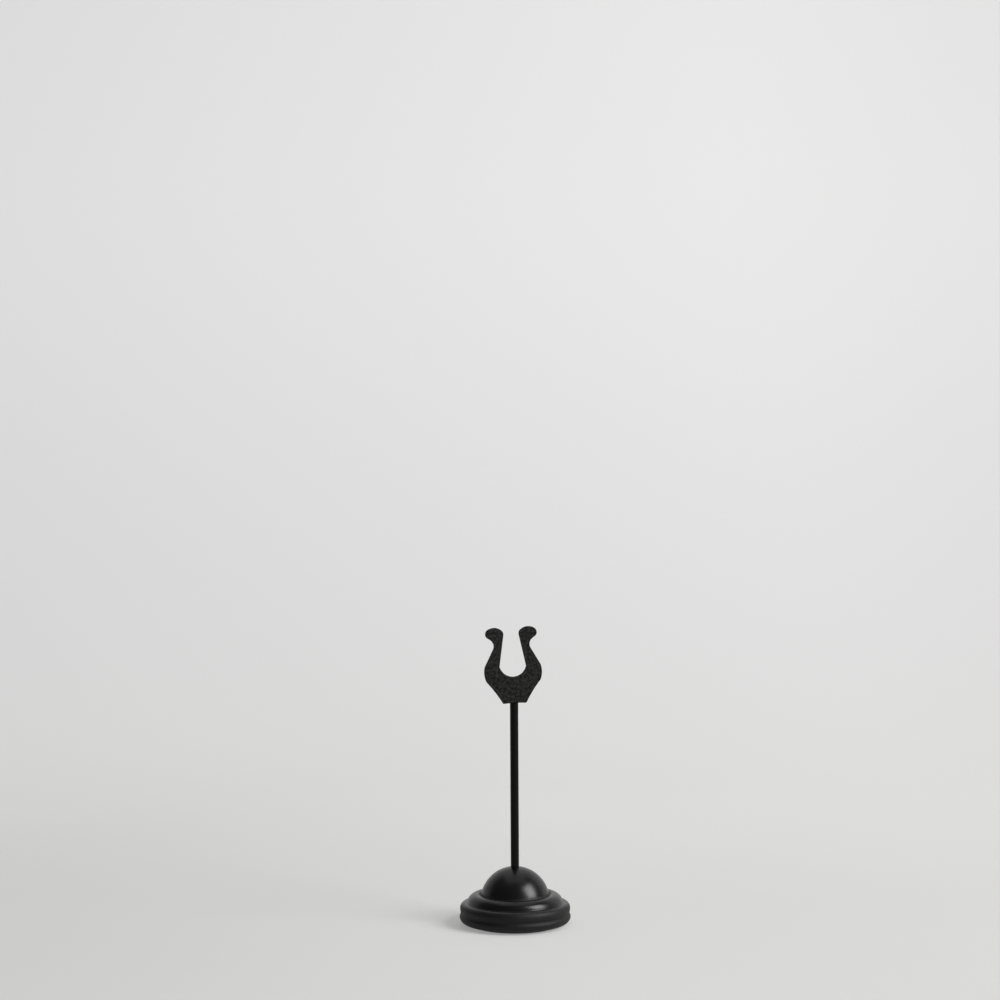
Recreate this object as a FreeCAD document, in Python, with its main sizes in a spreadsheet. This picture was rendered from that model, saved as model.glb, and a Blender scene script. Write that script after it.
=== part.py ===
import FreeCAD, Part
import Sketcher
import math
import os

Vector = FreeCAD.Vector

# Table number stand: a weighted, domed base, a round rod and a lyre shaped card clip.
# The origin is the middle of the base on the table, +Z is up, and the clip faces -Y.

# The driving sizes, in millimetres, with the lean in degrees.
SIZES = [
    # Pressed shell of the base
    ("base_diameter", 76.0, "across the bead at the shell's foot"),
    ("shell_wall", 0.8, "thickness of the pressed sheet"),
    ("rim_clearance", 1.4, "shell's lip above the table"),
    ("lip_radius", 4.2, "rounding from the bead into the turned lip"),
    ("lip_width", 1.2, "flat part of the turned lip"),
    ("groove_height", 7.6, "groove between the two beads"),
    ("groove_depth", 1.15, "groove, in from the lower bead"),
    ("ring_bulge", 0.85, "upper bead, out from the groove"),
    ("ring_height", 11.3, "widest line of the upper bead"),
    ("ring_round", 3.8, "rounding from the upper bead to the step"),
    ("step_run", 1.15, "step between the upper bead and the tier"),
    ("tier_height", 20.85, "top line of the tier, above the table"),
    ("tier_radius", 6.3, "rounded section of the tier"),
    ("dome_inset", 2.57, "dome's ball, in from the tier's top line"),
    ("dome_middle", 15.35, "middle of the dome's ball, above the table"),
    ("seat_diameter", 8.0, "flat on the dome's top"),
    ("press_round", 0.6, "rounding of the creases"),
    # Weight and foot
    ("ballast_clearance", 1.5, "weight inside the turned lip"),
    ("ballast_height", 9.0, "disc of the weight"),
    ("ballast_draft", 0.8, "how far the cast disc narrows upwards"),
    ("hub_diameter", 13.0, "column under the dome"),
    ("hub_margin", 0.5, "hub's top inside the flat of the dome"),
    ("hub_chamfer", 2.6, "slope at the hub's top"),
    ("bore_clearance", 0.5, "bore of the weight over the stud"),
    ("recess_diameter", 12.0, "pocket for washer and nut"),
    ("recess_depth", 6.0, "pocket for washer and nut"),
    ("pad_thickness", 1.5, "non-slip pad"),
    ("pad_margin", 1.0, "pad inside the weight's edge"),
    # Rod, washer and nut
    ("rod_diameter", 5.7, "round bar with its enamel"),
    ("rod_length", 112.2, "from the dome to the clip"),
    ("stud_diameter", 4.0, "M4 stud"),
    ("stud_clearance", 0.3, "holes of shell and washer over the stud"),
    ("stud_end", 1.0, "stud beyond the nut"),
    ("stud_chamfer", 0.5, "chamfer at the stud's end"),
    ("tang_length", 14.0, "flats between the two plates"),
    ("tang_thickness", 1.6, "across the flats"),
    ("washer_diameter", 9.0, "M4 washer"),
    ("washer_thickness", 0.8, "M4 washer"),
    ("nut_width", 7.0, "M4 nut across the flats"),
    ("nut_height", 3.2, "M4 nut"),
    ("nut_chamfer", 0.5, "cone at the nut's ends, past its corners"),
    ("thread_clearance", 0.1, "nut's plain bore over the stud"),
    # Stamped lyre plates: heights are taken from the plate's bottom edge, halves from its middle
    ("plate_thickness", 1.2, "sheet of the plates"),
    ("plate_chamfer", 0.25, "broken edge round the outer face"),
    ("clip_lean", 2.95, "lean of the clip, towards -X"),
    ("weld_rise", 10.0, "spot weld above the bottom edge"),
    ("bend_rise", 20.0, "where the arms start to close"),
    ("pinch_rise", 41.0, "where the arms hold the card"),
    ("pinch_gap", 0.5, "between the arms at the pinch"),
    ("flare_rise", 52.0, "top of the horns, where they have opened"),
    ("flare_gap", 2.2, "between the horns' tips"),
    ("foot_arch", 0.4, "bottom edge, upwards at the rod"),
    ("foot_half", 7.5, "middle of the foot's rounded tip"),
    ("foot_round", 0.8, "rounding of the foot's tip"),
    ("flank_radius", 89.0, "hollow of the lower flank"),
    ("belly_low_half", 18.6, "lower corner of the belly"),
    ("belly_low_rise", 15.4, "lower corner of the belly"),
    ("belly_radius", 16.0, "curve of the belly"),
    ("belly_high_half", 19.3, "upper corner of the belly"),
    ("belly_high_rise", 25.4, "upper corner of the belly"),
    ("neck_half", 17.65, "middle of the neck's hollow"),
    ("neck_rise", 39.7, "middle of the neck's hollow"),
    ("neck_radius", 5.3, "the neck's hollow"),
    ("hook_half", 14.4, "middle of the horn's outer end"),
    ("hook_rise", 47.9, "middle of the horn's outer end"),
    ("hook_radius", 3.3, "the horn's outer end"),
    ("tip_half", 8.45, "middle of the horn's inner end"),
    ("tip_rise", 47.4, "middle of the horn's inner end"),
    ("tip_radius", 3.3, "the horn's inner end"),
    ("horn_radius", 8.0, "curve over the horn"),
    ("opening_floor", 18.0, "bottom of the opening"),
    ("opening_radius", 9.25, "round bottom of the opening"),
    ("opening_corner", 25.3, "where the round bottom meets the arm"),
]

# Places that follow from the sizes.
PLACES = [
    ("base_radius", "Sizes.base_diameter / 2"),
    ("lip_middle", "base_radius - Sizes.lip_radius"),
    ("lip_edge", "lip_middle - Sizes.lip_width"),
    ("lip_inner", "Sizes.lip_radius - Sizes.shell_wall"),
    ("bead_height", "Sizes.rim_clearance + Sizes.lip_radius"),
    ("groove_radius", "base_radius - Sizes.groove_depth"),
    ("ring_radius", "groove_radius + Sizes.ring_bulge"),
    ("ring_inner", "Sizes.ring_round - Sizes.shell_wall"),
    ("ring_top_radius", "ring_radius - Sizes.ring_round"),
    ("step_height", "Sizes.ring_height + Sizes.ring_round"),
    ("tier_middle", "Sizes.tier_height - Sizes.tier_radius"),
    ("tier_inner", "Sizes.tier_radius - Sizes.shell_wall"),
    ("tier_run", "sqrt(Sizes.tier_radius ^ 2 - (step_height - tier_middle) ^ 2)"),
    ("tier_crown", "ring_top_radius - Sizes.step_run - tier_run"),
    ("dome_radius", "tier_crown - Sizes.dome_inset"),
    ("dome_inner", "dome_radius - Sizes.shell_wall"),
    ("seat_radius", "Sizes.seat_diameter / 2"),
    ("seat_height", "Sizes.dome_middle + sqrt(dome_radius ^ 2 - seat_radius ^ 2)"),
    ("seat_under", "seat_height - Sizes.shell_wall"),
    ("stud_hole", "Sizes.stud_diameter + Sizes.stud_clearance"),
    ("ballast_radius", "lip_edge - Sizes.ballast_clearance"),
    ("ballast_top_radius", "ballast_radius - Sizes.ballast_draft"),
    ("ballast_top", "Sizes.pad_thickness + Sizes.ballast_height"),
    ("ballast_bore", "(Sizes.stud_diameter + Sizes.bore_clearance) / 2"),
    ("hub_radius", "Sizes.hub_diameter / 2"),
    ("hub_top_radius", "seat_radius - Sizes.hub_margin"),
    ("hub_slope", "seat_under - Sizes.hub_chamfer"),
    ("recess_radius", "Sizes.recess_diameter / 2"),
    ("recess_top", "Sizes.pad_thickness + Sizes.recess_depth"),
    ("pad_radius", "ballast_radius - Sizes.pad_margin"),
    ("washer_bottom", "recess_top - Sizes.washer_thickness"),
    ("nut_bottom", "washer_bottom - Sizes.nut_height"),
    ("nut_bore", "Sizes.stud_diameter + Sizes.thread_clearance"),
    ("nut_corner", "Sizes.nut_width / 2 / cos(30)"),
    ("nut_face", "Sizes.nut_width / 2"),
    ("nut_beyond", "nut_corner + Sizes.nut_chamfer"),
    ("nut_slope", "(nut_beyond - nut_face) * tan(30)"),
    ("nut_slope_top", "Sizes.nut_height - nut_slope"),
    ("stud_length", "seat_height - nut_bottom + Sizes.stud_end"),
    ("stud_radius", "Sizes.stud_diameter / 2"),
    ("clip_height", "seat_height + Sizes.rod_length"),
    ("bar_length", "Sizes.rod_length + Sizes.tang_length"),
    ("flat_end", "bar_length + Sizes.rod_diameter"),
    ("flat_back", "-Sizes.rod_diameter"),
    ("tang_half", "Sizes.tang_thickness / 2"),
    ("tang_back", "-tang_half"),
    ("tang_face", "tang_half + Sizes.plate_thickness"),
    ("pinch_half", "Sizes.pinch_gap / 2"),
    ("pinch_face", "pinch_half + Sizes.plate_thickness"),
    ("flare_slope", "(Sizes.flare_gap / 2 - pinch_half) / (Sizes.flare_rise - Sizes.pinch_rise)"),
    ("blank_low", "-2 * Sizes.plate_thickness"),
    ("blank_high", "Sizes.hook_rise + Sizes.horn_radius"),
    ("blank_side", "Sizes.belly_high_half + Sizes.belly_radius / 2"),
    ("mouth_half", "pinch_half + flare_slope * (blank_high - Sizes.pinch_rise)"),
    ("mouth_face", "mouth_half + Sizes.plate_thickness"),
    ("waste_low", "2 * blank_low"),
    ("waste_high", "blank_high - blank_low"),
    ("waste_side", "blank_side - blank_low"),
    ("opening_middle", "Sizes.opening_floor + Sizes.opening_radius"),
]

SLIVER = 1e-4


def write_sheet(sheet, rows):
    """Fills a sheet with one row for each name, its content and what it is."""
    for row, (alias, content, about) in enumerate(rows, start=1):
        sheet.set(f"A{row}", alias)
        sheet.set(f"B{row}", str(content))
        sheet.setAlias(f"B{row}", alias)
        sheet.set(f"C{row}", about)


document = FreeCAD.newDocument("table_number_stand")
sizes = document.addObject("Spreadsheet::Sheet", "Sizes")
write_sheet(sizes, SIZES)
document.recompute()
places = document.addObject("Spreadsheet::Sheet", "Places")
write_sheet(places, [(alias, "=" + formula, "follows from the sizes") for alias, formula in PLACES])
document.recompute()
SIZE_NAMES = {row[0] for row in SIZES}


def number(alias):
    """The value of a cell, in millimetres or degrees."""
    return float(getattr(sizes if alias in SIZE_NAMES else places, alias))


def cell(alias):
    """The name of a cell in an expression."""
    return ("Sizes." if alias in SIZE_NAMES else "Places.") + alias


def origin_plane(body, role):
    """One of the body's own origin planes."""
    return next(part for part in body.Origin.OriginFeatures if part.Role == role)


class Drawing:
    """A sketch whose lines and arcs follow each other, and whose dimensions are cells."""

    # The sketcher's own numbers for the points of a piece, and for the origin and the upright axis
    START, END, MIDDLE = range(1, 4)
    ORIGIN, UPRIGHT = range(-1, -3, -1)

    def __init__(self, body, name, plane):
        self.sketch = body.newObject("Sketcher::SketchObject", name)
        self.sketch.AttachmentSupport = [(origin_plane(body, plane), "")]
        self.sketch.MapMode = "FlatFace"

    def rule(self, kind, *ends):
        self.sketch.addConstraint(Sketcher.Constraint(kind, *ends))

    def bind(self, kind, ends, alias):
        index = self.sketch.addConstraint(Sketcher.Constraint(kind, *ends, number(alias)))
        self.sketch.setExpression(f"Constraints[{index}]", cell(alias))

    def line(self, start, end):
        segment = Part.LineSegment(Vector(*start), Vector(*end))
        return self.sketch.addGeometry(segment, False), self.START, self.END

    def arc(self, middle, start, end, clockwise=False):
        """An arc from start to end; its first and last ends are given in that order."""
        radius = math.dist(middle, start)
        angles = [math.atan2(p[1] - middle[1], p[0] - middle[0]) for p in (start, end)]
        if clockwise:
            angles.reverse()
        circle = Part.Circle(Vector(*middle), Vector(0, 0, 1), radius)
        geometry = self.sketch.addGeometry(Part.ArcOfCircle(circle, *angles), False)
        ends = (self.END, self.START) if clockwise else (self.START, self.END)
        return geometry, *ends

    def circle(self, alias):
        """A circle about the origin, its diameter a cell."""
        circle = Part.Circle(Vector(), Vector(0, 0, 1), number(alias) / 2)
        geometry = self.sketch.addGeometry(circle, False)
        self.rule("Coincident", geometry, self.MIDDLE, self.ORIGIN, self.START)
        self.bind("Diameter", (geometry,), alias)

    def join(self, before, after, smooth=False):
        kind = "Tangent" if smooth else "Coincident"
        self.rule(kind, before[0], before[2], after[0], after[1])

    def radius(self, piece, alias):
        self.bind("Radius", (piece[0],), alias)

    def place(self, piece, end, across=None, up=None):
        """Dimensions from the origin to an end or the middle of a piece."""
        if across:
            self.bind("DistanceX", (self.ORIGIN, self.START, piece[0], end), across)
        if up:
            self.bind("DistanceY", (self.ORIGIN, self.START, piece[0], end), up)

    def on_upright(self, piece, end):
        self.rule("PointOnObject", piece[0], end, self.UPRIGHT)

    def polygon(self, corners):
        """A closed polygon; each corner is a pair of cells, or None for nought."""
        points = [tuple(number(alias) if alias else 0.0 for alias in pair) for pair in corners]
        sides = [self.line(a, b) for a, b in zip(points, points[1:] + points[:1])]
        for side, after in zip(sides, sides[1:] + sides[:1]):
            self.join(side, after)
        for side, (across, up) in zip(sides, corners):
            self.place(side, side[1], across, up)
            if across is None:
                self.on_upright(side, side[1])
            if up is None:
                self.rule("PointOnObject", side[0], side[1], self.ORIGIN)


def new_body(label):
    body = document.addObject("PartDesign::Body", label)
    body.Label = label
    return body


def turn(body, name, drawing, kind="PartDesign::Revolution"):
    """A section turned once round the axis, as material or as a groove."""
    feature = body.newObject(kind, name)
    feature.Profile = drawing.sketch
    feature.ReferenceAxis = (drawing.sketch, ["V_Axis"])
    feature.Angle = 360
    document.recompute()
    return feature


def pad(body, name, drawing, alias, reverse=False):
    feature = body.newObject("PartDesign::Pad", name)
    feature.Profile = drawing.sketch
    feature.setExpression("Length", cell(alias))
    feature.Reversed = reverse
    document.recompute()
    return feature


def cut_through(body, name, drawing, midplane=False, reverse=False):
    """A pocket right through, which has to take material away."""
    before = body.Shape.Volume
    feature = body.newObject("PartDesign::Pocket", name)
    feature.Profile = drawing.sketch
    feature.Type = "ThroughAll"
    feature.Midplane = midplane
    feature.Reversed = reverse
    document.recompute()
    if not body.Shape.Volume < before - SLIVER:
        raise ValueError(f"{body.Label}: {name} cuts nothing")
    return feature


def edges_where(shape, test):
    """The names of a shape's edges that pass a test."""
    return [f"Edge{i}" for i, edge in enumerate(shape.Edges, start=1) if test(edge)]


def is_circle_at(edge, radius, height):
    """Whether an edge is a level circle about the axis, of this radius and height."""
    curve = edge.Curve
    return (
        isinstance(curve, Part.Circle)
        and abs(curve.Radius - radius) < SLIVER
        and abs(curve.Center.z - height) < SLIVER
    )


def dress(body, kind, name, edges, alias):
    """A fillet or chamfer on edges of the body's last feature."""
    base = body.Tip
    feature = body.newObject(kind, name)
    feature.Base = (base, edges)
    feature.setExpression("Radius" if kind.endswith("Fillet") else "Size", cell(alias))
    document.recompute()
    return feature


def set_height(piece, alias):
    piece.setExpression(".Placement.Base.z", cell(alias))


def arc_middle(start, end, radius, left=True):
    """The middle of an arc from start to end, left or right of its chord."""
    chord = math.dist(start, end)
    offset = math.sqrt(radius ** 2 - (chord / 2) ** 2) * (1 if left else -1)
    along = ((end[0] - start[0]) / chord, (end[1] - start[1]) / chord)
    return (
        (start[0] + end[0]) / 2 - along[1] * offset,
        (start[1] + end[1]) / 2 + along[0] * offset,
    )


def upright_middle(widest, other):
    """The middle, level with the widest point, of an arc through both points."""
    inwards, upwards = widest[0] - other[0], other[1] - widest[1]
    return widest[0] - (inwards ** 2 + upwards ** 2) / (2 * inwards), widest[1]


def meeting(first, first_far, second, second_far):
    """The point this far from two others, left of the way from the first to the second."""
    apart = math.dist(first, second)
    along = (apart ** 2 + first_far ** 2 - second_far ** 2) / (2 * apart)
    aside = math.sqrt(first_far ** 2 - along ** 2)
    step = ((second[0] - first[0]) / apart, (second[1] - first[1]) / apart)
    return first[0] + step[0] * along - step[1] * aside, first[1] + step[1] * along + step[0] * aside


def beyond(middle, radius, point):
    """Where the ray from a circle's middle through a point crosses the circle."""
    far = math.dist(middle, point)
    return tuple(m + (p - m) * radius / far for m, p in zip(middle, point))


def make_base_shell():
    """Pressed shell: turned lip, bead, groove, bead, step, rounded tier and dome, one wall thick."""
    body = new_body("base_shell")
    drawing = Drawing(body, "shell_section", "XZ_Plane")
    wall = number("shell_wall")

    ring_side = (number("ring_radius"), number("ring_height"))
    groove = (number("groove_radius"), number("groove_height"))
    bead_side = (number("base_radius"), number("bead_height"))
    lip_bottom = (number("lip_middle"), number("rim_clearance"))
    lip_edge = (number("lip_edge"), number("rim_clearance"))
    lip_middle = (lip_bottom[0], bead_side[1])
    ring_middle = upright_middle(ring_side, groove)
    bead_middle = upright_middle(bead_side, groove)
    round_middle = (number("ring_top_radius"), ring_side[1])
    tier_middle = (number("tier_crown"), number("tier_middle"))
    dome_middle = (0.0, number("dome_middle"))

    def upper_section(step_height, tier_radius, dome_radius, seat_height):
        """The ends of the pieces above the upper bead, on the shell's outside or inside."""
        round_top = (round_middle[0], step_height)
        tier_rise = step_height - tier_middle[1]
        tier_foot = (tier_middle[0] + math.sqrt(tier_radius ** 2 - tier_rise ** 2), step_height)
        dome_foot = meeting(dome_middle, dome_radius, tier_middle, tier_radius)
        dome_rise = seat_height - dome_middle[1]
        seat_edge = (math.sqrt(dome_radius ** 2 - dome_rise ** 2), seat_height)
        return round_top, tier_foot, dome_foot, seat_edge

    round_top, tier_foot, dome_foot, seat_edge = upper_section(
        number("step_height"),
        number("tier_radius"),
        number("dome_radius"),
        number("seat_height"),
    )
    outer = {
        "seat": drawing.line((0.0, seat_edge[1]), seat_edge),
        "dome": drawing.arc(dome_middle, seat_edge, dome_foot, clockwise=True),
        "tier": drawing.arc(tier_middle, dome_foot, tier_foot, clockwise=True),
        "step": drawing.line(tier_foot, round_top),
        "round": drawing.arc(round_middle, round_top, ring_side, clockwise=True),
        "ring": drawing.arc(ring_middle, ring_side, groove, clockwise=True),
        "bead": drawing.arc(bead_middle, groove, bead_side, clockwise=True),
        "lip": drawing.arc(lip_middle, bead_side, lip_bottom, clockwise=True),
        "hem": drawing.line(lip_bottom, lip_edge),
    }
    lip_top = (lip_edge[0], lip_edge[1] + wall)
    lip_corner = (lip_bottom[0], lip_top[1])
    bead_inner = (bead_side[0] - wall, bead_side[1])
    ring_inner = (ring_side[0] - wall, ring_side[1])
    groove_inner = beyond(ring_middle, math.dist(ring_middle, ring_inner), groove)
    round_under, tier_under, dome_under, seat_under = upper_section(
        number("step_height") - wall,
        number("tier_inner"),
        number("dome_inner"),
        number("seat_under"),
    )
    inner = {
        "edge": drawing.line(lip_edge, lip_top),
        "hem": drawing.line(lip_top, lip_corner),
        "lip": drawing.arc(lip_middle, lip_corner, bead_inner),
        "bead": drawing.arc(bead_middle, bead_inner, groove_inner),
        "ring": drawing.arc(ring_middle, groove_inner, ring_inner),
        "round": drawing.arc(round_middle, ring_inner, round_under),
        "step": drawing.line(round_under, tier_under),
        "tier": drawing.arc(tier_middle, tier_under, dome_under),
        "dome": drawing.arc(dome_middle, dome_under, seat_under),
        "seat": drawing.line(seat_under, (0.0, seat_under[1])),
        "axis": drawing.line((0.0, seat_under[1]), (0.0, seat_edge[1])),
    }
    chain = list(outer.values()) + list(inner.values())
    smooth = {id(outer["round"]), id(outer["bead"])}
    for before, after in zip(chain, chain[1:] + chain[:1]):
        drawing.join(before, after, smooth=id(before) in smooth)

    start, end, middle = drawing.START, drawing.END, drawing.MIDDLE
    drawing.on_upright(outer["seat"], start)
    drawing.rule("Horizontal", outer["seat"][0])
    drawing.place(outer["seat"], end, across="seat_radius")
    drawing.on_upright(outer["dome"], middle)
    drawing.place(outer["dome"], middle, up="dome_middle")
    drawing.radius(outer["dome"], "dome_radius")
    drawing.place(outer["tier"], middle, "tier_crown", "tier_middle")
    drawing.radius(outer["tier"], "tier_radius")
    drawing.rule("Horizontal", outer["step"][0])
    drawing.place(outer["step"], end, "ring_top_radius", "step_height")
    drawing.radius(outer["round"], "ring_round")
    drawing.rule("Vertical", outer["round"][0], middle, outer["round"][0], outer["round"][1])
    drawing.rule("Horizontal", outer["round"][0], middle, outer["round"][0], outer["round"][2])
    drawing.place(outer["bead"], outer["bead"][1], "groove_radius", "groove_height")
    drawing.place(outer["lip"], middle, "lip_middle", "bead_height")
    drawing.radius(outer["lip"], "lip_radius")
    drawing.rule("Horizontal", outer["lip"][0], middle, outer["lip"][0], outer["lip"][1])
    drawing.rule("Vertical", outer["lip"][0], middle, outer["lip"][0], outer["lip"][2])
    drawing.rule("Horizontal", outer["hem"][0])
    drawing.place(outer["hem"], end, across="lip_edge")

    drawing.rule("Vertical", inner["edge"][0])
    drawing.rule("Horizontal", inner["hem"][0])
    for name in ("lip", "bead", "ring", "round", "tier", "dome"):
        drawing.rule("Coincident", inner[name][0], middle, outer[name][0], middle)
    drawing.radius(inner["lip"], "lip_inner")
    drawing.rule("Vertical", inner["lip"][0], middle, inner["lip"][0], start)
    drawing.rule("Horizontal", inner["lip"][0], middle, inner["lip"][0], end)
    drawing.radius(inner["round"], "ring_inner")
    drawing.rule("Horizontal", inner["round"][0], middle, inner["round"][0], start)
    drawing.rule("Vertical", inner["round"][0], middle, inner["round"][0], end)
    drawing.rule("Horizontal", inner["step"][0])
    drawing.radius(inner["tier"], "tier_inner")
    drawing.radius(inner["dome"], "dome_inner")
    drawing.rule("Horizontal", inner["seat"][0])
    drawing.place(inner["seat"], end, up="seat_under")
    drawing.on_upright(inner["seat"], end)
    turn(body, "pressed_shell", drawing)

    hole = Drawing(body, "stud_hole_outline", "XY_Plane")
    hole.circle("stud_hole")
    cut_through(body, "stud_hole", hole, reverse=True)

    creases = (groove, tier_foot, dome_foot)
    edges = edges_where(body.Shape, lambda edge: any(is_circle_at(edge, *crease) for crease in creases))
    dress(body, "PartDesign::Fillet", "soft_creases", edges, "press_round")
    return body


def make_ballast():
    """Cast weight: a disc with draft, a hub up to the dome's underside and a pocket below."""
    body = new_body("ballast")
    drawing = Drawing(body, "ballast_section", "XZ_Plane")
    drawing.polygon([
        ("ballast_bore", "seat_under"),
        ("hub_top_radius", "seat_under"),
        ("hub_radius", "hub_slope"),
        ("hub_radius", "ballast_top"),
        ("ballast_top_radius", "ballast_top"),
        ("ballast_radius", "pad_thickness"),
        ("recess_radius", "pad_thickness"),
        ("recess_radius", "recess_top"),
        ("ballast_bore", "recess_top"),
    ])
    turn(body, "casting", drawing)
    return body


def make_foot_pad():
    """Non-slip disc under the weight, which closes the pocket."""
    disc = document.addObject("Part::Cylinder", "pad_disc")
    disc.Label = "foot_pad"
    disc.setExpression("Radius", cell("pad_radius"))
    disc.setExpression("Height", cell("pad_thickness"))
    return disc


def make_rod():
    """Round bar on the dome's flat, with a stud below and two flats above."""
    body = new_body("rod")
    bar = Drawing(body, "bar_outline", "XY_Plane")
    bar.circle("rod_diameter")
    pad(body, "bar", bar, "bar_length")
    stud = Drawing(body, "stud_outline", "XY_Plane")
    stud.circle("stud_diameter")
    pad(body, "stud", stud, "stud_length", reverse=True)
    stud_foot = (number("stud_radius"), -number("stud_length"))
    ends = edges_where(body.Shape, lambda edge: is_circle_at(edge, *stud_foot))
    dress(body, "PartDesign::Chamfer", "stud_lead", ends, "stud_chamfer")
    flats = Drawing(body, "tang_flats_outline", "YZ_Plane")
    for near, far in (("tang_half", "rod_diameter"), ("tang_back", "flat_back")):
        flats.polygon([(near, "rod_length"), (far, "rod_length"), (far, "flat_end"), (near, "flat_end")])
    cut_through(body, "tang_flats", flats, midplane=True)
    set_height(body, "seat_height")
    return body


def make_washer():
    """Plain washer under the weight."""
    body = new_body("washer")
    drawing = Drawing(body, "washer_outline", "XY_Plane")
    drawing.circle("washer_diameter")
    drawing.circle("stud_hole")
    pad(body, "plain_washer", drawing, "washer_thickness")
    set_height(body, "washer_bottom")
    return body


def make_nut():
    """Hexagon nut with both ends turned to a cone."""
    body = new_body("nut")
    drawing = Drawing(body, "hexagon", "XY_Plane")
    corner = number("nut_corner")
    turns = [math.radians(60 * step) for step in range(6)]
    corners = [(corner * math.cos(turn), corner * math.sin(turn)) for turn in turns]
    sides = [drawing.line(a, b) for a, b in zip(corners, corners[1:] + corners[:1])]
    for before, after in zip(sides, sides[1:] + sides[:1]):
        drawing.join(before, after)
    around = drawing.sketch.addGeometry(Part.Circle(Vector(), Vector(0, 0, 1), corner), True)
    drawing.rule("Coincident", around, drawing.MIDDLE, drawing.ORIGIN, drawing.START)
    drawing.bind("Radius", (around,), "nut_corner")
    for side in sides:
        drawing.rule("PointOnObject", side[0], drawing.START, around)
    for before, after in zip(sides, sides[1:]):
        drawing.rule("Equal", before[0], after[0])
    drawing.rule("PointOnObject", sides[0][0], drawing.START, drawing.ORIGIN)
    drawing.circle("nut_bore")
    pad(body, "hexagon_nut", drawing, "nut_height")
    cones = Drawing(body, "cone_section", "XZ_Plane")
    cones.polygon([("nut_face", None), ("nut_beyond", None), ("nut_beyond", "nut_slope")])
    cones.polygon([
        ("nut_beyond", "nut_slope_top"),
        ("nut_beyond", "nut_height"),
        ("nut_face", "nut_height"),
    ])
    turn(body, "turned_ends", cones, "PartDesign::Groove")
    set_height(body, "nut_bottom")
    return body


def common_tangent(first, first_side, second, second_side):
    """Ends of the line that touches two circles; a side is the radius, plus on the line's left."""
    apart = math.dist(first, second)
    bearing = math.atan2(second[1] - first[1], second[0] - first[0])
    turn = bearing - math.asin((second_side - first_side) / apart)
    left = (-math.sin(turn), math.cos(turn))
    return (
        (first[0] - first_side * left[0], first[1] - first_side * left[1]),
        (second[0] - second_side * left[0], second[1] - second_side * left[1]),
    )


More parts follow.
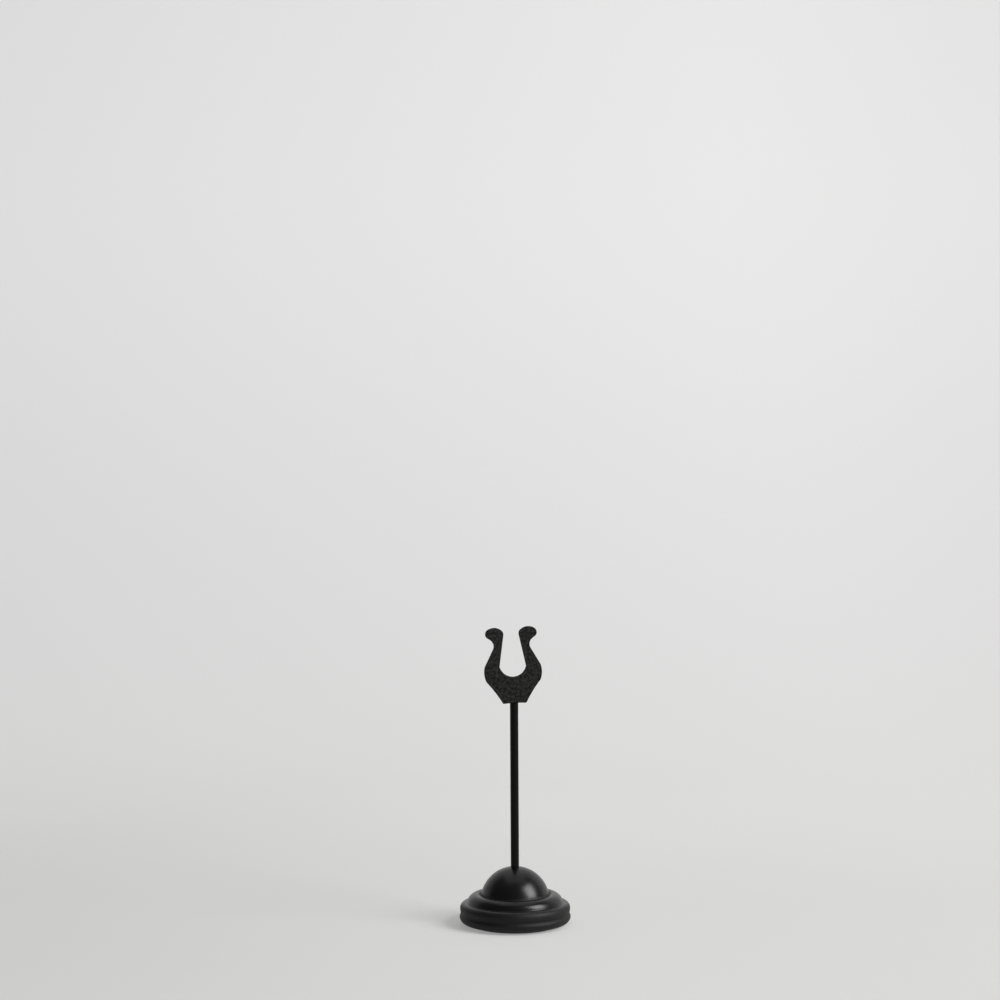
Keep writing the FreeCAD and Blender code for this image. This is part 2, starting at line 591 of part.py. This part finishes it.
def draw_waste(drawing):
    """What the punch takes away on one side of the lyre: its outline, closed round the blank."""
    foot = (number("foot_half"), number("foot_round"))
    belly_low = (number("belly_low_half"), number("belly_low_rise"))
    belly_high = (number("belly_high_half"), number("belly_high_rise"))
    neck = (number("neck_half"), number("neck_rise"))
    hook = (number("hook_half"), number("hook_rise"))
    tip = (number("tip_half"), number("tip_rise"))
    foot_round, neck_radius = number("foot_round"), number("neck_radius")
    hook_radius, tip_radius = number("hook_radius"), number("tip_radius")
    horn_radius, opening_radius = number("horn_radius"), number("opening_radius")
    opening = (0.0, number("opening_middle"))
    arch = (0.0, number("foot_arch"))
    floor = (0.0, number("opening_floor"))
    corner_up = number("opening_corner")
    corner = (math.sqrt(opening_radius ** 2 - (corner_up - opening[1]) ** 2), corner_up)
    low, high, aside = number("waste_low"), number("waste_high"), number("waste_side")

    sole = common_tangent(arch, 0.0, foot, foot_round)
    flank = common_tangent(foot, foot_round, belly_low, 0.0)
    flank_middle = arc_middle(flank[0], belly_low, number("flank_radius"), left=False)
    belly_middle = arc_middle(belly_low, belly_high, number("belly_radius"))
    arm = common_tangent(belly_high, 0.0, neck, -neck_radius)
    barb = common_tangent(neck, -neck_radius, hook, hook_radius)
    horn_middle = meeting(hook, horn_radius - hook_radius, tip, horn_radius - tip_radius)
    horn = (beyond(horn_middle, horn_radius, hook), beyond(horn_middle, horn_radius, tip))
    inside = common_tangent(tip, tip_radius, corner, 0.0)

    pieces = {
        "sole": drawing.line(arch, sole[1]),
        "toe": drawing.arc(foot, sole[1], flank[0]),
        "flank": drawing.arc(flank_middle, flank[0], belly_low, clockwise=True),
        "belly": drawing.arc(belly_middle, belly_low, belly_high),
        "arm": drawing.line(belly_high, arm[1]),
        "neck": drawing.arc(neck, arm[1], barb[0], clockwise=True),
        "barb": drawing.line(barb[0], barb[1]),
        "hook": drawing.arc(hook, barb[1], horn[0]),
        "horn": drawing.arc(horn_middle, horn[0], horn[1]),
        "tip": drawing.arc(tip, horn[1], inside[0]),
        "inside": drawing.line(inside[0], corner),
        "opening": drawing.arc(opening, corner, floor, clockwise=True),
        "slot": drawing.line(floor, (0.0, high)),
        "above": drawing.line((0.0, high), (aside, high)),
        "beside": drawing.line((aside, high), (aside, low)),
        "below": drawing.line((aside, low), (0.0, low)),
        "step": drawing.line((0.0, low), arch),
    }
    sharp = {"flank", "belly", "inside", "opening", "slot", "above", "beside", "below", "step"}
    names = list(pieces)
    for name, following in zip(names, names[1:] + names[:1]):
        drawing.join(pieces[name], pieces[following], smooth=name not in sharp)

    middle = drawing.MIDDLE
    drawing.on_upright(pieces["slot"], drawing.START)
    drawing.place(pieces["slot"], drawing.START, up="opening_floor")
    drawing.on_upright(pieces["above"], drawing.START)
    drawing.place(pieces["beside"], drawing.START, "waste_side", "waste_high")
    drawing.rule("Horizontal", pieces["above"][0])
    drawing.rule("Vertical", pieces["beside"][0])
    drawing.rule("Horizontal", pieces["below"][0])
    drawing.place(pieces["step"], drawing.START, up="waste_low")
    drawing.on_upright(pieces["step"], drawing.START)
    drawing.on_upright(pieces["sole"], drawing.START)
    drawing.place(pieces["sole"], drawing.START, up="foot_arch")
    drawing.place(pieces["toe"], middle, "foot_half", "foot_round")
    drawing.radius(pieces["toe"], "foot_round")
    drawing.radius(pieces["flank"], "flank_radius")
    drawing.place(pieces["belly"], drawing.START, "belly_low_half", "belly_low_rise")
    drawing.place(pieces["belly"], drawing.END, "belly_high_half", "belly_high_rise")
    drawing.radius(pieces["belly"], "belly_radius")
    for name in ("neck", "hook", "tip"):
        drawing.place(pieces[name], middle, f"{name}_half", f"{name}_rise")
        drawing.radius(pieces[name], f"{name}_radius")
    drawing.radius(pieces["horn"], "horn_radius")
    drawing.on_upright(pieces["opening"], middle)
    drawing.radius(pieces["opening"], "opening_radius")
    drawing.place(pieces["inside"], drawing.END, up="opening_corner")


def mirrored(body, name, originals, role):
    """The other half of the body's features, past one of its own planes."""
    feature = body.newObject("PartDesign::Mirrored", name)
    feature.Originals = originals
    feature.MirrorPlane = (origin_plane(body, role), [""])
    body.Tip = feature
    document.recompute()
    return feature


def punched_edges(shape):
    """The names of the edges round the outer face of a bent plate, without its bend lines."""
    outer = [edge for face in shape.Faces if face.normalAt(0, 0).y > 0.9 for edge in face.Edges]
    return edges_where(shape, lambda edge: sum(edge.isSame(other) for other in outer) == 1)


def make_plate(label, facing):
    """Stamped lyre plate: its arms close on the card and its horns open. Its outer face is +Y."""
    body = new_body(label)
    section = Drawing(body, "bent_section", "YZ_Plane")
    section.polygon([
        ("tang_half", "blank_low"),
        ("tang_face", "blank_low"),
        ("tang_face", "bend_rise"),
        ("pinch_face", "pinch_rise"),
        ("mouth_face", "blank_high"),
        ("mouth_half", "blank_high"),
        ("pinch_half", "pinch_rise"),
        ("tang_half", "bend_rise"),
    ])
    blank = pad(body, "bent_blank", section, "blank_side")
    waste = Drawing(body, "lyre_outline", "XZ_Plane")
    draw_waste(waste)
    punched = cut_through(body, "punched_lyre", waste, midplane=True)
    mirrored(body, "other_half", [blank, punched], "YZ_Plane")
    dress(body, "PartDesign::Chamfer", "broken_edge", punched_edges(body.Shape), "plate_chamfer")

    # The plate is turned by its lean about the spot weld, which lies on the rod's axis.
    weld = "vector(0; 0; Places.clip_height + Sizes.weld_rise)"
    lean = "rotation(vector(0; 1; 0); -Sizes.clip_lean)"
    face = f"rotation(vector(0; 0; 1); {facing})"
    foot = "placement(vector(0; 0; -Sizes.weld_rise); rotation(vector(0; 0; 1); 0))"
    body.setExpression("Placement", f"placement({weld}; {lean} * {face}) * {foot}")
    return body


PARTS = [
    make_base_shell(),
    make_ballast(),
    make_foot_pad(),
    make_rod(),
    make_washer(),
    make_nut(),
    make_plate("clip_front", 180),
    make_plate("clip_rear", 0),
]
document.recompute()

failed = [o.Name for o in document.Objects if {"Invalid", "Error"} & set(o.State)]
if failed:
    raise ValueError(f"these objects failed: {failed}")
for part in PARTS:
    if part.Shape.isNull() or not part.Shape.isValid() or len(part.Shape.Solids) != 1:
        raise ValueError(f"{part.Label} is not one valid solid")

os.makedirs("parts", exist_ok=True)
for part in PARTS:
    part.Shape.exportStep(f"parts/{part.Label}.step")
    print(f"{part.Label}: {part.Shape.Volume:.1f} cubic millimetres")
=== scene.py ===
import math

import bpy
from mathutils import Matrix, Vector

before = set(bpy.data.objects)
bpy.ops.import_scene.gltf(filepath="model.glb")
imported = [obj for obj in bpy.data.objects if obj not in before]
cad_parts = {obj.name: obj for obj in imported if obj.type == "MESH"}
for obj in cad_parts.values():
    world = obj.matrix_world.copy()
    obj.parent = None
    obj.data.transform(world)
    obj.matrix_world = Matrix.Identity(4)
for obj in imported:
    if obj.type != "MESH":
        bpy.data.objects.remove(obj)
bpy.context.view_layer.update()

# Table number stand: satin black base and rod, and a lyre clip in textured black.
# Sizes are in metres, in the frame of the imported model.

MM = 0.001

scene = bpy.context.scene
scene.view_settings.view_transform = "Standard"


# Shader maths

# A Mix node's sockets for colours, by number, because several sockets share a name
MIX_FACTOR, MIX_LOW, MIX_HIGH = 0, 6, 7
MIX_RESULT = 2


class Value:
    """A socket of a shader tree, on which an expression adds its Math nodes."""

    def __init__(self, shader, socket):
        self.shader = shader
        self.socket = socket

    def maths(self, operation, first, second):
        """Adds a Math node on two values."""
        return self.shader.node(
            "ShaderNodeMath", {"operation": operation}, {0: first, 1: second}
        )

    def __add__(self, other):
        return self.maths("ADD", self, other)

    def __sub__(self, other):
        return self.maths("SUBTRACT", self, other)

    def __rsub__(self, other):
        return self.maths("SUBTRACT", other, self)

    def __mul__(self, other):
        return self.maths("MULTIPLY", self, other)

    def __pow__(self, other):
        return self.maths("POWER", self, other)

    def __rpow__(self, other):
        return self.maths("POWER", other, self)

    __radd__ = __add__
    __rmul__ = __mul__

    def either(self, other):
        """The larger of two masks."""
        return self.maths("MAXIMUM", self, other)

    def between(self, low, high):
        """0 below low, 1 above high, and a smooth rise from one to the other."""
        return self.shader.node(
            "ShaderNodeMapRange",
            {"interpolation_type": "SMOOTHSTEP"},
            {"Value": self, "From Min": low, "From Max": high},
        )


class Shader:
    """One material, whose nodes are added by expressions."""

    def __init__(self, name):
        self.material = bpy.data.materials.new(name)
        self.material.use_nodes = True
        self.tree = self.material.node_tree
        self.tree.nodes.clear()
        self.output = self.tree.nodes.new("ShaderNodeOutputMaterial")

    def node(self, kind, settings=None, sockets=None, give=0):
        """Adds any node: its settings first, then the values or links of its sockets."""
        node = self.tree.nodes.new(kind)
        for name, value in (settings or {}).items():
            setattr(node, name, value)
        for name, value in (sockets or {}).items():
            if isinstance(value, Value):
                self.tree.links.new(value.socket, node.inputs[name])
            else:
                node.inputs[name].default_value = value
        return Value(self, node.outputs[give])

    def place(self):
        """Object coordinates, in metres."""
        return self.node("ShaderNodeTexCoord", give="Object")

    def parts(self, vector):
        """A vector's x, y and z."""
        split = self.node("ShaderNodeSeparateXYZ", sockets={"Vector": vector})
        return [Value(self, socket) for socket in split.socket.node.outputs]

    def combine(self, level):
        """A neutral colour of this level."""
        return self.node(
            "ShaderNodeCombineColor", sockets={"Red": level, "Green": level, "Blue": level}
        )

    def noise(self, vector, size, detail=2.0, roughness=0.5):
        """Noise whose cells are about this size, from 0 to 1."""
        return self.node(
            "ShaderNodeTexNoise",
            sockets={
                "Vector": vector, "Scale": 1 / size, "Detail": detail, "Roughness": roughness
            },
            give="Fac",
        )

    def blend(self, factor, low, high):
        """A colour between two colours."""
        return self.node(
            "ShaderNodeMix",
            {"data_type": "RGBA"},
            {MIX_FACTOR: factor, MIX_LOW: low, MIX_HIGH: high},
            give=MIX_RESULT,
        )

    def bump(self, height, depth):
        """A surface's normal, raised by a height of 0 to 1 times a depth in metres."""
        return self.node(
            "ShaderNodeBump",
            sockets={"Height": height, "Distance": depth, "Strength": 1.0},
            give="Normal",
        )

    def surface(self, **sockets):
        """The finished surface, its sockets named with _ for a space."""
        named = {name.replace("_", " "): value for name, value in sockets.items()}
        surface = self.node("ShaderNodeBsdfPrincipled", sockets=named)
        self.tree.links.new(surface.socket, self.output.inputs["Surface"])
        return self.material


def grey(level, tint=0.0):
    """An almost neutral colour; a tint above 0 is cooler."""
    return (level * (1 - tint), level, level * (1 + tint), 1.0)


# Finishes of the stand

BEADS_TOP = 14 * MM
DOME_CREASE_RADIUS = 24.2 * MM
DOME_CREASE_HEIGHT = 20.0 * MM


def satin_enamel(name, level, gloss, shine, dull_below=0.0, crease=(0.0, 0.0)):
    """Black enamel with faint orange peel, softer patches and dust on top.

    It is duller below a height, where hands hold it, and in the crease of this radius and
    height.
    """
    fade = 1 * MM
    crease_rise = 2.6 * MM
    peel_size, peel_depth = 1.1 * MM, 0.003 * MM
    patch_size = 14 * MM
    dust_size = 0.5 * MM
    crease_radius, crease_height = crease

    shader = Shader(name)
    place = shader.place()
    across, deep, height = shader.parts(place)
    radius = (across ** 2 + deep ** 2) ** 0.5
    handled = 1 - height.between(dull_below - fade, dull_below + fade)
    in_crease = (1 - height.between(crease_height, crease_height + crease_rise)) * (
        1 - radius.between(crease_radius, crease_radius + fade)
    )
    dull = handled.either(in_crease)
    peel = shader.noise(place, peel_size, detail=1.0)
    patches = shader.noise(place, patch_size, detail=3.0)
    specks = shader.noise(place, dust_size, detail=0.0).between(0.70, 0.78)
    facing_up = shader.parts(shader.node("ShaderNodeNewGeometry", give="Normal"))[2]
    dust = specks * facing_up.between(0.6, 0.95)
    enamel = shader.blend(
        patches.between(0.35, 0.7), grey(level, tint=0.04), grey(level * 1.5, tint=0.04)
    )
    return shader.surface(
        Base_Color=shader.blend(dust * 0.1, enamel, grey(0.08)),
        Roughness=gloss + patches.between(0.3, 0.75) * 0.06 + dust * 0.15 + dull * 0.3,
        Normal=shader.bump(peel, peel_depth),
        Specular_IOR_Level=shine,
    )


def textured_powder():
    """Fine textured black powder coat: wrinkled grain over a soft mottle."""
    grain_size, mottle_size = 0.55 * MM, 1.8 * MM
    relief = 0.16 * MM

    shader = Shader("textured powder coat")
    place = shader.place()
    grain = shader.noise(place, grain_size, detail=3.0, roughness=0.6)
    mottle = shader.noise(place, mottle_size)
    return shader.surface(
        Base_Color=shader.blend(
            (grain * 0.4 + mottle * 0.6).between(0.37, 0.66),
            grey(0.001, tint=-0.03),
            grey(0.035, tint=-0.03),
        ),
        Roughness=0.62 - mottle.between(0.4, 0.65) * 0.12,
        Normal=shader.bump(grain * 0.6 + mottle * 0.4, relief),
        Specular_IOR_Level=0.18,
    )


def raw_casting():
    """Grey cast iron: sandy skin with a little brown in its hollows."""
    sand_size, sand_depth = 0.9 * MM, 0.12 * MM
    stain_size = 9 * MM
    rust_brown = (0.11, 0.06, 0.035, 1.0)

    shader = Shader("raw casting")
    place = shader.place()
    sand = shader.noise(place, sand_size, detail=4.0, roughness=0.65)
    stain = shader.noise(place, stain_size, detail=3.0).between(0.52, 0.7)
    iron = shader.blend(sand.between(0.3, 0.7), grey(0.05), grey(0.13))
    return shader.surface(
        Base_Color=shader.blend(stain * 0.5, iron, rust_brown),
        Metallic=0.6 - stain * 0.4,
        Roughness=0.6 + sand * 0.2,
        Normal=shader.bump(sand, sand_depth),
    )


def foam_rubber():
    """Matt black foam rubber with fine closed cells."""
    cell_size, cell_depth = 0.8 * MM, 0.08 * MM
    wear_size = 11 * MM

    shader = Shader("foam rubber")
    place = shader.place()
    cells = shader.node(
        "ShaderNodeTexVoronoi",
        {"feature": "F1"},
        {"Vector": place, "Scale": 1 / cell_size},
        give="Distance",
    )
    wear = shader.noise(place, wear_size, detail=3.0)
    return shader.surface(
        Base_Color=shader.blend(wear.between(0.4, 0.7), grey(0.018), grey(0.04)),
        Roughness=0.9 - wear * 0.1,
        Normal=shader.bump(cells, cell_depth),
        Specular_IOR_Level=0.3,
    )


def zinc_plate():
    """Bright zinc plate with fine turning lines and dull patches."""
    line_pitch, line_depth = 0.12 * MM, 0.003 * MM
    haze_size = 1.6 * MM
    blue_zinc = (0.55, 0.56, 0.57, 1.0)
    yellow_zinc = (0.68, 0.67, 0.62, 1.0)

    shader = Shader("zinc plate")
    place = shader.place()
    across, deep, _ = shader.parts(place)
    radius = (across ** 2 + deep ** 2) ** 0.5
    lines = shader.node(
        "ShaderNodeMath", {"operation": "SINE"}, {0: radius * (2 * math.pi / line_pitch)}
    )
    haze = shader.noise(place, haze_size, detail=3.0)
    return shader.surface(
        Base_Color=shader.blend(haze, blue_zinc, yellow_zinc),
        Metallic=1.0,
        Roughness=0.3 + haze * 0.15,
        Normal=shader.bump(lines * 0.5 + 0.5, line_depth),
    )


def base_enamel():
    return satin_enamel(
        "satin enamel of the base",
        level=0.002,
        gloss=0.26,
        shine=0.3,
        dull_below=BEADS_TOP,
        crease=(DOME_CREASE_RADIUS, DOME_CREASE_HEIGHT),
    )


def rod_enamel():
    return satin_enamel("satin enamel of the rod", level=0.001, gloss=0.3, shine=0.13)


FINISHES = (
    (base_enamel, ("base_shell",)),
    (rod_enamel, ("rod",)),
    (textured_powder, ("clip_front", "clip_rear")),
    (raw_casting, ("ballast",)),
    (foam_rubber, ("foot_pad",)),
    (zinc_plate, ("washer", "nut")),
)

for make_finish, nodes in FINISHES:
    finish = make_finish()
    for node in nodes:
        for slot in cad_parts[node].material_slots:
            slot.material = finish


# The camera stands level, a little above the stand, as for the photograph

FRAME_WIDTH = 1000
SENSOR = 36.0
FOCAL_PIXELS = 1930
CAMERA_DISTANCE = 1.3214
CAMERA_HEIGHT = 0.2902
AXIS_COLUMN = 513.05
CAMERA_ROLL = 0.29

camera_data = bpy.data.cameras.new("camera")
camera_data.sensor_width = SENSOR
camera_data.lens = FOCAL_PIXELS / FRAME_WIDTH * SENSOR
camera_data.dof.use_dof = False
camera = bpy.data.objects.new("camera", camera_data)
aside = -(AXIS_COLUMN - FRAME_WIDTH / 2) / FOCAL_PIXELS * CAMERA_DISTANCE
camera.location = (aside, -CAMERA_DISTANCE, CAMERA_HEIGHT)
camera.rotation_euler = (math.radians(90), math.radians(CAMERA_ROLL), 0)
scene.collection.objects.link(camera)
scene.camera = camera


# Floor and backdrop in one seamless sweep of paper

PAPER_WIDTH = 24
PAPER_DEPTH = 16
PAPER_MIDDLE = -5.8
PAPER_RISE = 4.0
PAPER_BEND = 1.6
PAPER_BEND_STEPS = 32


def select_edges(piece, wanted):
    """Goes into edit mode with only the edges selected whose ends are both wanted."""
    bpy.ops.object.mode_set(mode="EDIT")
    bpy.ops.mesh.select_all(action="DESELECT")
    bpy.ops.object.mode_set(mode="OBJECT")
    corners = piece.data.vertices
    for edge in piece.data.edges:
        edge.select = all(wanted(corners[i].co) for i in edge.vertices)
    bpy.ops.object.mode_set(mode="EDIT")


def paper_sweep():
    """Pale grey paper: the floor, turned up behind into the backdrop."""
    bpy.ops.object.select_all(action="DESELECT")
    bpy.ops.mesh.primitive_plane_add(size=1, location=(0, 0, 0))
    paper = bpy.context.object
    paper.name = "paper_sweep"
    paper.scale = (PAPER_WIDTH, PAPER_DEPTH, 1)
    paper.location = (0, PAPER_MIDDLE, 0)
    bpy.ops.object.transform_apply(location=True, rotation=True, scale=True)
    back = PAPER_MIDDLE + PAPER_DEPTH / 2 - MM
    select_edges(paper, lambda corner: corner.y > back)
    bpy.ops.mesh.extrude_region_move(TRANSFORM_OT_translate={"value": (0, 0, PAPER_RISE)})
    select_edges(paper, lambda corner: corner.y > back and corner.z < MM)
    bpy.ops.mesh.bevel(
        offset=PAPER_BEND, segments=PAPER_BEND_STEPS, profile=0.5, affect="EDGES"
    )
    bpy.ops.object.mode_set(mode="OBJECT")
    bpy.ops.object.shade_smooth()
    return paper


def paper_finish():
    """Matt paper with a glow seen by the camera and in reflections, so that the backdrop stays
    as pale as the floor.
    """
    fibre_size = 300 * MM
    dark_fibre, pale_fibre = (0.38, 0.38, 0.367, 1.0), (0.40, 0.40, 0.387, 1.0)
    floor_glow = 0.285

    shader = Shader("backdrop paper")
    place = shader.place()
    across, deep, height = shader.parts(place)
    floor = shader.blend(shader.noise(place, fibre_size), dark_fibre, pale_fibre)
    seen, mirrored, through = (
        shader.node("ShaderNodeLightPath", give=ray)
        for ray in ("Is Camera Ray", "Is Glossy Ray", "Is Transmission Ray")
    )
    # The glow is painted light and shade: it grows towards the backdrop and up it, and painted
    # shade makes it weaker on the floor's left side.
    # It is also weaker on the far right everywhere, which evens out the one large lamp's light.
    glow = deep.between(0.0, 0.6) * 0.05 + height.between(-0.05, 0.9) * 0.075 + floor_glow
    # Painted shade: the glow is darker on the floor's left side.
    shade = (1 - across.between(-0.4, 0.12)) * 0.045 - 0.006
    glow = glow - shade * (1 - deep.between(0.2, 1.0)) - across.between(0.3, 1.0) * 0.07
    return shader.surface(
        Base_Color=shader.blend(deep.between(0.3, 1.4), floor, grey(0.39)),
        Roughness=0.9,
        Specular_IOR_Level=0.1,
        Emission_Color=shader.combine(seen.either(mirrored).either(through) * glow),
        Emission_Strength=1.0,
    )


paper_sweep().data.materials.append(paper_finish())


# Soft studio light

STAND_MIDDLE = Vector((0, 0, 0.08))
ROOM_LIGHT = 0.15


def softbox(name, azimuth, elevation, distance, width, height, power):
    """A rectangular lamp that faces the stand; azimuth is from the front to the right."""
    lamp_data = bpy.data.lights.new(name, "AREA")
    lamp_data.shape = "RECTANGLE"
    lamp_data.size = width
    lamp_data.size_y = height
    lamp_data.energy = power
    lamp = bpy.data.objects.new(name, lamp_data)
    around, up = math.radians(azimuth), math.radians(elevation)
    away = Vector(
        (math.sin(around) * math.cos(up), -math.cos(around) * math.cos(up), math.sin(up))
    )
    lamp.location = STAND_MIDDLE + away * distance
    lamp.rotation_euler = away.to_track_quat("Z", "Y").to_euler()
    scene.collection.objects.link(lamp)


softbox(
    "window_right", azimuth=62, elevation=33, distance=6.0, width=3.2, height=3.9, power=450
)
softbox(
    "ceiling", azimuth=180, elevation=82, distance=2.2, width=2.0, height=2.0, power=10
)

room = bpy.data.worlds.new("room")
room.use_nodes = True
background = room.node_tree.nodes["Background"]
background.inputs["Color"].default_value = (1.0, 1.0, 1.0, 1.0)
background.inputs["Strength"].default_value = ROOM_LIGHT
scene.world = room
